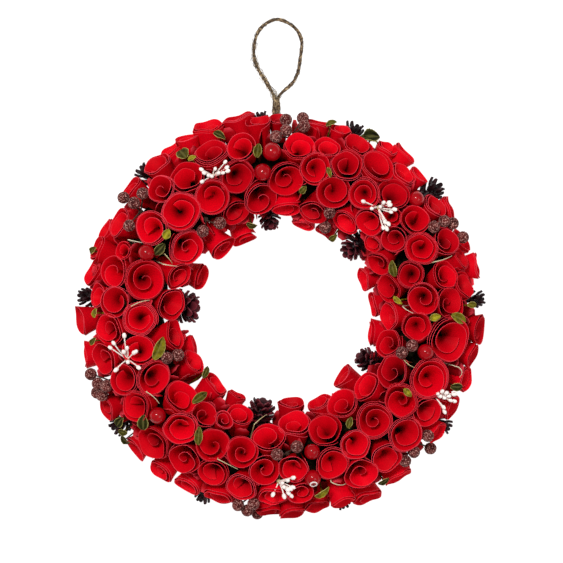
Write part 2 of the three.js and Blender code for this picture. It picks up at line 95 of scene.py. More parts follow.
FACING_ROSES = [
    [301, 147, 29], [325, 149, 25], [287, 176, 33], [313, 173, 30], [334, 194, 31],
    [290, 208, 27], [316, 214, 28], [264, 203, 31],
    [347, 164, 29], [363, 150, 27], [378, 166, 33], [361, 194, 29], [391, 191, 31],
    [341, 220, 26], [367, 223, 27], [409, 172, 25], [393, 217, 18],
    [438, 209, 26], [418, 224, 28], [394, 240, 24], [445, 241, 26], [416, 252, 32],
    [372, 245, 18], [379, 264, 24], [464, 257, 21],
    [447, 275, 27], [466, 284, 26], [418, 277, 26], [420, 300, 30], [451, 303, 30],
    [388, 289, 28], [388, 315, 27], [416, 328, 27], [451, 337, 42], [388, 343, 26],
    [393, 372, 31], [429, 379, 38], [365, 387, 28], [392, 403, 32], [426, 410, 30],
    [374, 423, 34], [407, 434, 33], [386, 459, 29], [354, 444, 28], [361, 472, 31],
    [343, 403, 30],
    [325, 429, 30], [334, 463, 32], [294, 469, 27], [301, 494, 24], [266, 470, 28],
    [271, 500, 27], [295, 423, 30], [269, 437, 31],
    [241, 451, 29], [241, 487, 29], [214, 445, 31], [212, 473, 30], [237, 414, 25],
    [207, 413, 24], [220, 416, 18],
    [181, 427, 32], [184, 459, 29], [152, 444, 33], [181, 394, 33], [159, 377, 34],
    [136, 406, 30], [125, 379, 28],
    [137, 350, 30], [104, 359, 30], [175, 334, 30], [107, 330, 29], [140, 321, 32],
    [172, 305, 29], [115, 302, 28], [95, 295, 22], [146, 280, 38], [180, 276, 28],
    [113, 272, 29],
    [188, 247, 33], [149, 224, 32], [181, 212, 37], [119, 222, 28], [122, 250, 17],
    [158, 190, 26], [184, 177, 31], [211, 151, 32], [241, 149, 28], [240, 178, 33],
    [213, 196, 32], [238, 213, 26],
]
OUTER_ROSES = [
    [277, 121, 18], [260, 131, 24, 2], [234, 122, 32, 6], [318, 126, 22], [341, 139, 20, 2],
    [384, 154, 20, 4], [403, 156, 25, 6], [413, 185, 20, 2], [450, 210, 26, 4], [474, 267, 24, 4],
    [476, 330, 28, 2], [466, 355, 24], [461, 378, 24], [452, 408, 24],
    [434, 427, 22, 2], [396, 475, 28, 5], [366, 496, 30, 6], [340, 493, 24, 3], [314, 503, 24],
    [290, 509, 26, 2], [270, 511, 24, 2], [215, 493, 28], [190, 481, 26],
    [163, 468, 26, 2], [135, 450, 26, 4], [113, 402, 24, 2], [85, 355, 26, 4], [85, 321, 28, 3],
    [94, 269, 26], [104, 248, 24], [105, 235, 22], [134, 187, 24], [163, 167, 27, 2],
    [178, 150, 24, 2], [193, 140, 22, 5], [205, 134, 30, 6],
]
INNER_ROSES = [
    [303, 224, 22, 2], [324, 232, 18, 3], [367, 278, 22, 4], [372, 305, 24, 2], [371, 333, 26, 4],
    [346, 380, 24, 8], [320, 404, 24], [292, 411, 24, 6],
    [236, 397, 18], [214, 386, 26, 2], [189, 364, 24, 1], [193, 346, 20], [198, 276, 24, 5],
    [217, 240, 26, 8], [241, 233, 24, 8],
]
GLOSSY_BERRIES = [
    [272, 152, 19], [262, 175, 18], [416, 202, 16], [423, 353, 17], [312, 451, 16],
    [313, 475, 17], [158, 415, 17], [147, 253, 17],
]
FROSTED_SPRIGS = [
    [[276, 137], [288, 132], [286, 119], [303, 117], [304, 126]],
    [[431, 226], [444, 218], [453, 223], [464, 237]],
    [[329, 214], [322, 224]],
    [[413, 344], [403, 352]],
    [[428, 436], [432, 450], [413, 453], [406, 460]],
    [[238, 506], [255, 504], [247, 512], [260, 518]],
    [[276, 452], [297, 446]],
    [[89, 375], [97, 384], [106, 386], [92, 395], [101, 398]],
    [[178, 355], [166, 360]],
    [[123, 195], [134, 203], [147, 192], [131, 224]],
    [[220, 223], [202, 232]],
]
# Root of each spray, then its pips
PIP_SPRAYS = [
    [[213, 175], [200, 169], [203, 173], [201, 183], [216, 168], [220, 173], [227, 161], [229, 167],
     [230, 171], [208, 176], [212, 177], [225, 173]],
    [[378, 208], [361, 201], [370, 209], [384, 202], [390, 202], [396, 210], [392, 213], [385, 224],
     [387, 231], [380, 207], [391, 205], [389, 226], [383, 230]],
    [[436, 397], [438, 393], [443, 390], [448, 392], [446, 398], [451, 396], [457, 394], [453, 401],
     [441, 396], [457, 402], [445, 409], [446, 414]],
    [[128, 358], [109, 346], [113, 341], [124, 350], [128, 346], [136, 351], [138, 350], [129, 362],
     [115, 371], [141, 368], [125, 333]],
    [[279, 484], [283, 482], [289, 479], [295, 476], [295, 487], [289, 490], [293, 497], [285, 498],
     [272, 496], [285, 487], [290, 494], [292, 489]],
]
OUTER_CONES = [
    [261, 120, 18], [351, 131, 24], [431, 187, 26], [480, 299, 18], [443, 428, 18],
    [342, 500, 18], [208, 498, 20], [116, 428, 22], [84, 297, 20], [142, 173, 22],
]
INNER_CONES = [[270, 224, 22], [352, 249, 24], [366, 360, 25], [261, 410, 28], [189, 308, 34]]
# x, y, length, width, turn and green, from 0 for dark to 1 for bright
LEAVES = [
    [371, 139, 24, 14, 0.5, 0.3], [183, 154, 18, 13, 1.9, 0.4], [457, 321, 20, 10, 0.2, 0.7],
    [159, 348, 26, 11, 1.5, 0.7], [198, 397, 22, 8, 1.0, 0.5], [322, 492, 19, 7, 1.0, 0.8],
]
SMALL_LEAVES = [
    [220, 137, 15, 7, -0.7, 0.2], [258, 152, 15, 8, 1.4, 0.5], [193, 160, 9, 5, 0.3, 0.9],
    [331, 125, 13, 6, 0.6, 0.5], [329, 173, 11, 4, -1.3, 0.6], [303, 189, 10, 6, 0.8, 0.5],
    [335, 235, 12, 6, 0.2, 0.5], [394, 268, 17, 8, 1.5, 0.5], [399, 300, 12, 5, -1.0, 1.0],
    [434, 317, 12, 7, 0.3, 1.0], [470, 305, 11, 6, 0.5, 0.6], [407, 392, 11, 6, -0.8, 0.9],
    [455, 386, 14, 8, 0.4, 0.1], [383, 480, 13, 6, 0.9, 0.1], [350, 423, 12, 6, 1.2, 0.5],
    [199, 435, 19, 8, 1.5, 0.5], [371, 138, 19, 16, 0.4, 0.05], [145, 421, 16, 11, 1.3, 0.1],
    [121, 421, 13, 9, 0.4, 0.05], [124, 431, 11, 7, 2.4, 0.35], [125, 440, 12, 9, 1.5, 0.15],
    [94, 251, 9, 7, 0.2, 0.5],
    [160, 249, 15, 9, 0.9, 0.1], [167, 234, 11, 8, 1.2, 1.0], [97, 313, 10, 5, 0.9, 0.9],
    [95, 341, 10, 5, 0.4, 0.5], [251, 222, 12, 6, 0.0, 0.2], [203, 374, 15, 6, 1.5, 0.4],
]
# Ends of pale dry twigs
TWIGS = [
    [433, 262, 451, 256], [403, 306, 413, 313], [404, 360, 414, 367], [331, 481, 345, 483],
    [218, 458, 238, 468], [254, 425, 267, 416], [147, 391, 160, 403], [165, 254, 172, 263],
    [163, 264, 178, 266], [129, 240, 143, 243], [132, 306, 150, 300], [458, 367, 459, 377],
]

# Twine loop: across, beyond the ring's top edge, and height
LOOP_START = RING_RADIUS + RING_WIDTH / 2
NECK_BEYOND = 35
LOOP_ROUTE = [
    [-1.8, 2.9, 8], [-2.2, 13.6, 6.5], [-2.6, 26.6, 4.8], [-2.9, 35, 3.8], [-1.7, 42.1, 2.7],
    [2.7, 47.7, 1.9], [8.2, 52.7, 1.8], [12.8, 59.3, 1.8], [15.6, 66.7, 1.8], [17, 76.5, 1.8],
    [18.4, 87.2, 1.8], [17.9, 95.6, 1.8], [14.2, 103.1, 1.8], [6, 109.8, 1.8], [-4.2, 113, 1.8],
    [-14.2, 109.2, 1.8], [-21.1, 102.1, 1.8], [-24.7, 91, 1.8], [-24.9, 77.9, 1.8],
    [-20.6, 66.3, 1.8], [-15.2, 57.4, 1.8], [-10.1, 49, 1.9], [-7.2, 42.1, 2.7], [-6.8, 35, 3.8],
    [-6.9, 26.6, 4.8], [-7.3, 13.6, 6.5], [-7.8, 2.9, 8],
]

# Camera straight above, with the picture's frame
PICTURE_SIDE = 563
SENSOR_WIDTH = 36
CAMERA_HEIGHT = 2.6
ROSE_PLANE = 0.045


def show(thing):
    bpy.context.scene.collection.objects.link(thing)


def look_down():
    data = bpy.data.cameras.new("camera")
    data.sensor_width = SENSOR_WIDTH
    width = PICTURE_SIDE * PLAN_SCALE * MM
    data.lens = SENSOR_WIDTH * (CAMERA_HEIGHT - ROSE_PLANE) / width
    camera = bpy.data.objects.new("camera", data)
    show(camera)
    camera.location = (0, (PLAN_CENTRE_Y - PICTURE_SIDE / 2) * PLAN_SCALE * MM, CAMERA_HEIGHT)
    bpy.context.scene.camera = camera


look_down()


# Materials
def shader(name, roughness, **sockets):
    material = bpy.data.materials.new(name)
    material.use_nodes = True
    tree = material.node_tree
    surface = tree.nodes["Principled BSDF"]
    surface.inputs["Roughness"].default_value = roughness
    for socket, value in sockets.items():
        surface.inputs[socket.replace("_", " ")].default_value = value
    return material, tree


def node(tree, kind, **values):
    made = tree.nodes.new(kind)
    for key, value in values.items():
        if hasattr(made, key):
            setattr(made, key, value)
        else:
            made.inputs[key].default_value = value
    return made


def grain(tree, scale, detail=4.0, stretch=(1, 1, 1)):
    place = node(tree, "ShaderNodeTexCoord")
    spread = node(tree, "ShaderNodeMapping")
    spread.inputs["Scale"].default_value = stretch
    tree.links.new(place.outputs["Object"], spread.inputs["Vector"])
    spots = node(tree, "ShaderNodeTexNoise", Scale=scale, Detail=detail)
    tree.links.new(spread.outputs["Vector"], spots.inputs["Vector"])
    return spots.outputs["Fac"]


def ramp(tree, factor, stops):
    made = node(tree, "ShaderNodeValToRGB")
    band = made.color_ramp
    while len(band.elements) < len(stops):
        band.elements.new(0.5)
    for element, (place, colour) in zip(band.elements, stops):
        element.position = place
        element.color = (*colour, 1)
    tree.links.new(factor, made.inputs["Fac"])
    return made.outputs["Color"]


def mix(tree, factor, first, second, how="MIX"):
    made = node(tree, "ShaderNodeMix", data_type="RGBA", blend_type=how)
    for value, socket in ((factor, made.inputs[0]), (first, made.inputs[6]), (second, made.inputs[7])):
        if isinstance(value, bpy.types.NodeSocket):
            tree.links.new(value, socket)
        elif isinstance(value, (int, float)):
            socket.default_value = value
        else:
            socket.default_value = (*value, 1)
    return made.outputs[2]


def mark(tree, name):
    return node(tree, "ShaderNodeAttribute", attribute_name=name).outputs["Fac"]


# Joins the colour to its socket, and a relief given by scale, detail, strength and depth
def finish(material, colour, relief=None, socket="Base Color"):
    tree = material.node_tree
    surface = tree.nodes["Principled BSDF"]
    tree.links.new(colour, surface.inputs[socket])
    if relief:
        scale, detail, strength, depth = relief
        height = grain(tree, scale, detail)
        bump = node(tree, "ShaderNodeBump", Strength=strength, Distance=depth)
        tree.links.new(height, bump.inputs["Height"])
        tree.links.new(bump.outputs["Normal"], surface.inputs["Normal"])
    return material


def rose_wood():
    material, tree = shader("rose_wood", 0.6, Specular_IOR_Level=0.06)
    # The dark end of this tone ramp is painted shade, in the middles of the bowls and at the feet of the
    # loose petals; the bright end holds each rose's own random red
    body = ramp(tree, mark(tree, "tone"), [
        (0.0, (0.07, 0.0, 0.001)), (0.35, (0.42, 0.0, 0.005)), (0.7, (0.70, 0.0, 0.008)),
        (1.0, (0.86, 0.0, 0.012))])
    streaks = ramp(tree, grain(tree, 900, 3), [(0.3, (0.82, 0.8, 0.8)), (0.7, (1, 1, 1))])
    body = mix(tree, 1.0, body, streaks, "MULTIPLY")
    # The pale pink at the edge mark is a painted highlight along the top edges of the shavings and petals
    colour = mix(tree, mark(tree, "edge"), body, (0.92, 0.07, 0.105))
    return finish(material, colour, (700, 4, 0.2, 0.0003))


def glossy_red():
    material, tree = shader("glossy_red", 0.25, Specular_IOR_Level=0.1, Coat_Weight=0.3,
                            Coat_Roughness=0.04)
    skin = ramp(tree, grain(tree, 160), [(0.3, (0.27, 0.0, 0.003)), (0.7, (0.42, 0.0, 0.005))])
    colour = mix(tree, mark(tree, "edge"), skin, (0.03, 0.012, 0.008))
    dried = ramp(tree, mark(tree, "tone"), [(0.8, (0, 0, 0)), (0.9, (1, 1, 1))])
    colour = mix(tree, dried, colour, (0.80, 0.70, 0.66))
    return finish(material, colour)


def frosted():
    material, tree = shader("frosted", 0.9, Specular_IOR_Level=0.15, Sheen_Weight=0.25,
                            Sheen_Roughness=0.35, Sheen_Tint=(0.8, 0.5, 0.48, 1))
    under = ramp(tree, grain(tree, 220, 2), [(0.35, (0.04, 0.004, 0.004)), (0.65, (0.13, 0.018, 0.016))])
    specks = ramp(tree, grain(tree, 800, 3), [(0.52, (0, 0, 0)), (0.66, (1, 1, 1))])
    skin = mix(tree, specks, under, (0.56, 0.28, 0.24))
    colour = mix(tree, mark(tree, "edge"), skin, (0.055, 0.03, 0.02))
    return finish(material, colour, (1300, 2, 0.6, 0.0006))


def pip_white():
    material, tree = shader("pip_white", 0.45)
    skin = ramp(tree, grain(tree, 300), [(0.3, (0.95, 0.84, 0.78)), (0.7, (1.0, 0.94, 0.89))])
    colour = mix(tree, mark(tree, "edge"), skin, (0.50, 0.42, 0.20))
    return finish(material, colour)


def cone_brown():
    material, tree = shader("cone_brown", 0.5, Specular_IOR_Level=0.2)
    scales = ramp(tree, grain(tree, 350), [(0.35, (0.004, 0.001, 0.002)), (0.7, (0.018, 0.003, 0.005))])
    # The red at the edge mark is a painted highlight on the scale tips
    colour = mix(tree, mark(tree, "edge"), scales, (0.20, 0.022, 0.035))
    return finish(material, colour, (600, 3, 0.4, 0.0005))


def leaf_green():
    material, tree = shader("leaf_green", 0.65, Specular_IOR_Level=0.06)
    blade = ramp(tree, mark(tree, "tone"), [
        (0.0, (0.010, 0.013, 0.002)), (0.45, (0.066, 0.058, 0.002)), (1.0, (0.35, 0.30, 0.006))])
    worn = ramp(tree, grain(tree, 260), [(0.3, (0.2, 0.15, 0.1)), (0.65, (1, 1, 1))])
    blade = mix(tree, 1.0, blade, worn, "MULTIPLY")
    colour = mix(tree, mark(tree, "edge"), blade, (0.58, 0.52, 0.16))
    return finish(material, colour, (800, 3, 0.3, 0.0004))


def jute():
    material, tree = shader("jute", 0.9)
    fibres = ramp(tree, grain(tree, 420, 6), [
        (0.38, (0.03, 0.018, 0.010)), (0.52, (0.13, 0.08, 0.042)), (0.66, (0.52, 0.38, 0.21))])
    # The dark brown at the edge mark is painted shade in the grooves of the twisted yarn
    colour = mix(tree, mark(tree, "edge"), fibres, (0.055, 0.032, 0.018))
    bleached = ramp(tree, mark(tree, "tone"), [(0.75, (0, 0, 0)), (1.0, (0.8, 0.8, 0.8))])
    colour = mix(tree, bleached, colour, (0.62, 0.48, 0.28))
    return finish(material, colour, (1400, 4, 0.7, 0.0006))


def moss():
    material, tree = shader("moss", 0.95, Specular_IOR_Level=0.05)
    tufts = ramp(tree, grain(tree, 240, 6), [
        (0.3, (0.002, 0.002, 0.001)), (0.55, (0.008, 0.007, 0.003)), (0.75, (0.026, 0.022, 0.009))])
    return finish(material, tufts, (900, 5, 0.8, 0.001))


def floor_white():
    material, tree = shader("floor_white", 0.9, Base_Color=(0.2, 0.2, 0.2, 1), Emission_Strength=1.0)
    tint = ramp(tree, grain(tree, 4, 2), [(0.3, (0.97, 0.97, 0.97)), (0.7, (1, 1, 1))])
    return finish(material, tint, socket="Emission Color")


ROSE_WOOD = rose_wood()
GLOSSY_RED = glossy_red()
FROSTED = frosted()
PIP_WHITE = pip_white()
CONE_BROWN = cone_brown()
LEAF_GREEN = leaf_green()
JUTE = jute()
MOSS = moss()

# Degrees between faces above which the edge is drawn sharp
SHARP_TURN = 55


# Gathers closed surfaces into one piece, with two marks for the material at each point
class Piece:
    def __init__(self):
        self.points = []
        self.faces = []
        self.edge = []
        self.tone = []
        self.count = 0

    def add(self, points, faces, edge=0.0, tone=0.5):
        points = np.asarray(points, dtype=float).reshape(-1, 3)
        self.points.append(points)
        for marks, values in ((self.edge, edge), (self.tone, tone)):
            marks.append(np.broadcast_to(np.asarray(values, dtype=float).ravel(), (len(points),)))
        self.faces.extend([[corner + self.count for corner in face] for face in faces])
        self.count += len(points)

    def build(self, name, material, stands_for=()):
        mesh = bpy.data.meshes.new(name)
        places = np.concatenate(self.points) * MM
        mesh.from_pydata(places.tolist(), [], self.faces)
        for mark_name, values in (("edge", self.edge), ("tone", self.tone)):
            marks = mesh.attributes.new(mark_name, "FLOAT", "POINT")
            marks.data.foreach_set("value", np.concatenate(values).astype(np.float32))
        mesh.materials.append(material)
        mesh.shade_smooth()
        mesh.set_sharp_from_angle(angle=math.radians(SHARP_TURN))
        piece = bpy.data.objects.new(name, mesh)
        show(piece)
        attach(piece, "root")
        if stands_for:
            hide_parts(*stands_for)
        return piece


# Closed sheet from a grid of middle points, with a thickness
def sheet(piece, grid, thickness, edge, tone):
    along = np.gradient(grid, axis=0)
    across = np.gradient(grid, axis=1)
    normal = np.cross(along, across)
    normal /= np.maximum(np.linalg.norm(normal, axis=2, keepdims=True), 1e-9)
    rows, columns = grid.shape[:2]
    points = np.concatenate([(grid + normal * thickness / 2).reshape(-1, 3),
                             (grid - normal * thickness / 2).reshape(-1, 3)])
    back = rows * columns
    faces = []
    for i in range(rows - 1):
        for j in range(columns - 1):
            a, b = i * columns + j, (i + 1) * columns + j
            faces.append([a, b, b + 1, a + 1])
            faces.append([back + a, back + a + 1, back + b + 1, back + b])
    borders = [(i * columns + j, (i + 1) * columns + j, flip) for i in range(rows - 1)
               for j, flip in ((0, False), (columns - 1, True))]
    borders += [(i * columns + j, i * columns + j + 1, flip) for j in range(columns - 1)
                for i, flip in ((0, True), (rows - 1, False))]
    for a, b, flip in borders:
        ring = [a, back + a, back + b, b]
        faces.append(ring[::-1] if flip else ring)
    edges = np.broadcast_to(edge, (rows, columns)).ravel()
    tones = np.broadcast_to(tone, (rows, columns)).ravel()
    piece.add(points, faces, np.tile(edges, 2), np.tile(tones, 2))


# Tube along points, with lobes that turn about it where it is a twisted yarn
def tube(piece, points, radii, sides, edge=0.0, tone=0.5, lobes=0, lobe_depth=0.0, pitch=1.0):
    points = np.asarray(points, dtype=float)
    radii = np.broadcast_to(np.asarray(radii, dtype=float), (len(points),))
    tangents = np.gradient(points, axis=0)
    tangents /= np.linalg.norm(tangents, axis=1, keepdims=True)
    steps = np.linalg.norm(np.diff(points, axis=0), axis=1)
    travelled = np.concatenate([[0], np.cumsum(steps)])
    side = np.cross(tangents[0], (0.0, 0.0, 1.0) if abs(tangents[0][2]) < 0.9 else (1.0, 0.0, 0.0))
    side /= np.linalg.norm(side)
    places, marks_and_groove_shade = [], []
    for k, tangent in enumerate(tangents):
        side = side - tangent * np.dot(side, tangent)
        side /= np.linalg.norm(side)
        lift = np.cross(tangent, side)
        for s in range(sides):
            turn = 2 * math.pi * s / sides
            groove = 0.0
            if lobes:
                phase = lobes / 2 * (turn - 2 * math.pi * travelled[k] / pitch)
                groove = 1 - abs(math.cos(phase))
            radius = radii[k] * (1 - lobe_depth * groove)
            places.append(points[k] + radius * (math.cos(turn) * side + math.sin(turn) * lift))
            # Painted shade: where the yarn is twisted, the bottoms of its grooves are marked dark, on top
            # of any edge mark given
            marks_and_groove_shade.append(max(edge, groove ** 3))
    faces = []
    for k in range(len(points) - 1):
        for s in range(sides):
            a, b = k * sides + s, k * sides + (s + 1) % sides
            faces.append([a, b, b + sides, a + sides])
    faces.append(list(range(sides))[::-1])
    faces.append([(len(points) - 1) * sides + s for s in range(sides)])
    piece.add(places, faces, marks_and_groove_shade, tone)


# Round body from its half profile of radius and height pairs, closed at both ends
def turned(piece, place, axis, profile, sides, edges=None, tone=0.5):
    turn_to = Vector((0, 0, 1)).rotation_difference(Vector(axis)).to_matrix()
    turn_to = np.array(turn_to)
    middle = profile[1:-1]
    places = [(0, 0, profile[0][1])]
    for radius, height in middle:
        for s in range(sides):
            turn = 2 * math.pi * s / sides
            places.append((radius * math.cos(turn), radius * math.sin(turn), height))
    places.append((0, 0, profile[-1][1]))
    last = len(places) - 1
    faces = []
    for s in range(sides):
        after = (s + 1) % sides
        faces.append([0, 1 + after, 1 + s])
        top = 1 + (len(middle) - 1) * sides
        faces.append([last, top + s, top + after])
        for k in range(len(middle) - 1):
            a, b = 1 + k * sides + s, 1 + k * sides + after
            faces.append([a, b, b + sides, a + sides])
    edges = edges or [0.0] * len(profile)
    marks = [edges[0]] + [mark_value for mark_value in edges[1:-1] for _ in range(sides)] + [edges[-1]]
    piece.add(np.array(places) @ turn_to.T + np.asarray(place), faces, marks, tone)


def ball_profile(radius, steps, stretch=1.0):
    return [(radius * math.sin(math.pi * k / steps), -radius * stretch * math.cos(math.pi * k / steps))
            for k in range(steps + 1)]


# Places around the ring, as in the solids
class Seat:
    def __init__(self, clock, lift, radius, reach=ROSE_REACH):
        self.clock = self.home_clock = clock
        self.lift = self.home_lift = lift
        self.radius = self.fitted = radius
        self.reach = reach

    def place(self, reach=None):
        return spot(self.clock, self.lift, self.reach if reach is None else reach)

    def axis(self):
        return outward(self.clock, self.lift)

    def edge_lift(self):
        return min(self.lift, math.pi - self.lift)


def spot(clock, lift, reach):
    out = RING_RADIUS + reach * math.cos(lift)
    return np.array([out * math.sin(clock), out * math.cos(clock), CORE_HEIGHT + reach * math.sin(lift)])


def outward(clock, lift):
    return np.array([math.cos(lift) * math.sin(clock), math.cos(lift) * math.cos(clock), math.sin(lift)])


def seat(x, y, radius, edge="face", rise=0, beyond=0):
    across = x - PLAN_CENTRE_X
    up = PLAN_CENTRE_Y - y
    half = PLAN_BAND_HALF * (ROSE_REACH + rise) / ROSE_REACH
    share = (math.hypot(across, up) - PLAN_BAND_RADIUS) / half
    lift = math.acos(min(max(share, -1), 1))
    if edge == "outer":
        lift *= OUTER_LIFT_SHARE
    if edge == "inner":
        lift = math.pi - (math.pi - lift) * INNER_LIFT_SHARE
    return Seat(math.atan2(across, up), lift, radius, ROSE_REACH + beyond)


def apart(a, b):
    return float(np.linalg.norm(a.place() - b.place()))


def low_roses(seated):
    radius = ROSE_DIAMETER * LOW_ROSE_SIZE / 2
    low = []
    for k in range(LOW_ROSES):
        rose = Seat(2 * math.pi * (k + 0.5) / LOW_ROSES, 0.0, radius, LOW_ROSE_REACH)
        if all(apart(rose, other) > (radius + other.radius) * LOW_ROSE_SIZE for other in seated):
            low.append(rose)
    return low


def settle(things):
    places = np.array([thing.place() for thing in things])
    radii = np.array([thing.radius for thing in things])
    for _ in range(SETTLE_ROUNDS):
        for k, a in enumerate(things):
            gaps = np.linalg.norm(places - places[k], axis=1) - radii - a.radius
            for other in np.nonzero(gaps < CLEARANCE + SETTLE_MARGIN)[0]:
                if other == k:
                    continue
                b = things[other]
                push = places[k] - places[other]
                length = float(np.linalg.norm(push))
                over = a.radius + b.radius + CLEARANCE - length
                if over <= 0:
                    continue
                push *= over * SETTLE_STEP / length
                around = np.array([math.cos(a.clock), -math.sin(a.clock), 0.0])
                over_front = outward(a.clock, a.lift + math.pi / 2)
                a.clock += float(push @ around) / (RING_RADIUS + a.reach * math.cos(a.lift))
                a.lift += float(push @ over_front) / a.reach
                places[k] = a.place()
            a.clock += (a.home_clock - a.clock) * HOME_PULL
            a.lift += (a.home_lift - a.lift) * HOME_PULL
            lowest = max(0.0, (a.radius + BED_EDGE - CORE_HEIGHT) / a.reach)
            a.lift = min(max(a.lift, lowest), math.pi - lowest)
            places[k] = a.place()
    for k, a in enumerate(things):
        for other in np.nonzero(np.linalg.norm(places - places[k], axis=1) - radii < a.radius + 1)[0]:
            if other == k:
                continue
            b = things[other]
            room = float(np.linalg.norm(places[k] - places[other])) - CLEARANCE
            if room < a.radius + b.radius:
                a.fitted = min(a.fitted, room * a.radius / (a.radius + b.radius))


def rose_seats(plan, edge):
    return [seat(x, y, ROSE_DIAMETER * width / PLAN_ROSE / 2, edge, 0, *beyond)
            for x, y, width, *beyond in plan]


planned = (rose_seats(FACING_ROSES, "face") + rose_seats(OUTER_ROSES, "outer")
           + rose_seats(INNER_ROSES, "inner"))
berries = [seat(x, y, BERRY_DIAMETER * width / PLAN_BERRY / 2) for x, y, width in GLOSSY_BERRIES]
sprigs = [[seat(x, y, FROSTED_DIAMETER / 2, rise=FROSTED_RISE) for x, y in places]
          for places in FROSTED_SPRIGS]
cones = [seat(x, y, CONE_DIAMETER * width / PLAN_CONE / 2, edge)
         for edge, plan in (("outer", OUTER_CONES), ("inner", INNER_CONES)) for x, y, width in plan]
spray_roots = [seat(*spray[0], STALK_DIAMETER) for spray in PIP_SPRAYS]
leaf_seats = [seat(x, y, STALK_DIAMETER) for x, y, *_ in LEAVES]
picks = [*berries, *[berry for group in sprigs for berry in group], *cones, *spray_roots, *leaf_seats]
roses = [*planned, *low_roses([*planned, *picks])]
settle([*roses, *picks])


# Twine loop: one twisted yarn, its fibres and the binding round both legs
YARN_STEPS = 12
YARN_SIDES = 18
YARN_LOBES = 3
YARN_PITCH = 12
YARN_GROOVE = 0.2
YARN_UNEVEN = 0.3
YARN_UNEVEN_SCALE = 0.16
FIBRE_COUNT = 340
FRAYED_SHARE = 0.45
# Part of the loop that they stand on, their lengths and how far they stray
FRAYED_FIBRES = ((0.66, 0.9), (4, 12), (0.8, 2.2))
PLAIN_FIBRES = ((0.04, 0.96), (2.5, 6), (0.3, 1.0))
FIBRE_STEPS = 5
FIBRE_SIDES = 3
FIBRE_RADIUS = 0.14
NECK_FIBRES = 70
NECK_SPREAD = 1.6
NECK_SQUEEZE = 0.5
NECK_THINNING = 0.3
NECK_REACH = 9
WRAP_TURNS = 10
WRAP_STEPS = 20
WRAP_SIDES = 10
WRAP_RADIUS = 0.45
WRAP_TONE = 0.95


def between(start, end, start_time, end_time, t):
    return ((end_time - t) * start + (t - start_time) * end) / (end_time - start_time)


# Centripetal curve through the points of a route
def smooth_route(route, steps):
    corners = [np.array(p, dtype=float) for p in route]
    ends = [2 * corners[0] - corners[1], *corners, 2 * corners[-1] - corners[-2]]
    line = []
    for p0, p1, p2, p3 in zip(ends, ends[1:], ends[2:], ends[3:]):
        knots = [0.0]
        for before, after in ((p0, p1), (p1, p2), (p2, p3)):
            knots.append(knots[-1] + math.sqrt(float(np.linalg.norm(after - before))))
        t0, t1, t2, t3 = knots
        for k in range(steps):
            t = t1 + (t2 - t1) * k / steps
            a1 = between(p0, p1, t0, t1, t)
            a2 = between(p1, p2, t1, t2, t)
            a3 = between(p2, p3, t2, t3, t)
            b1 = between(a1, a2, t0, t2, t)
            b2 = between(a2, a3, t1, t3, t)
            line.append(between(b1, b2, t1, t2, t))
    line.append(corners[-1])
    return np.array(line)


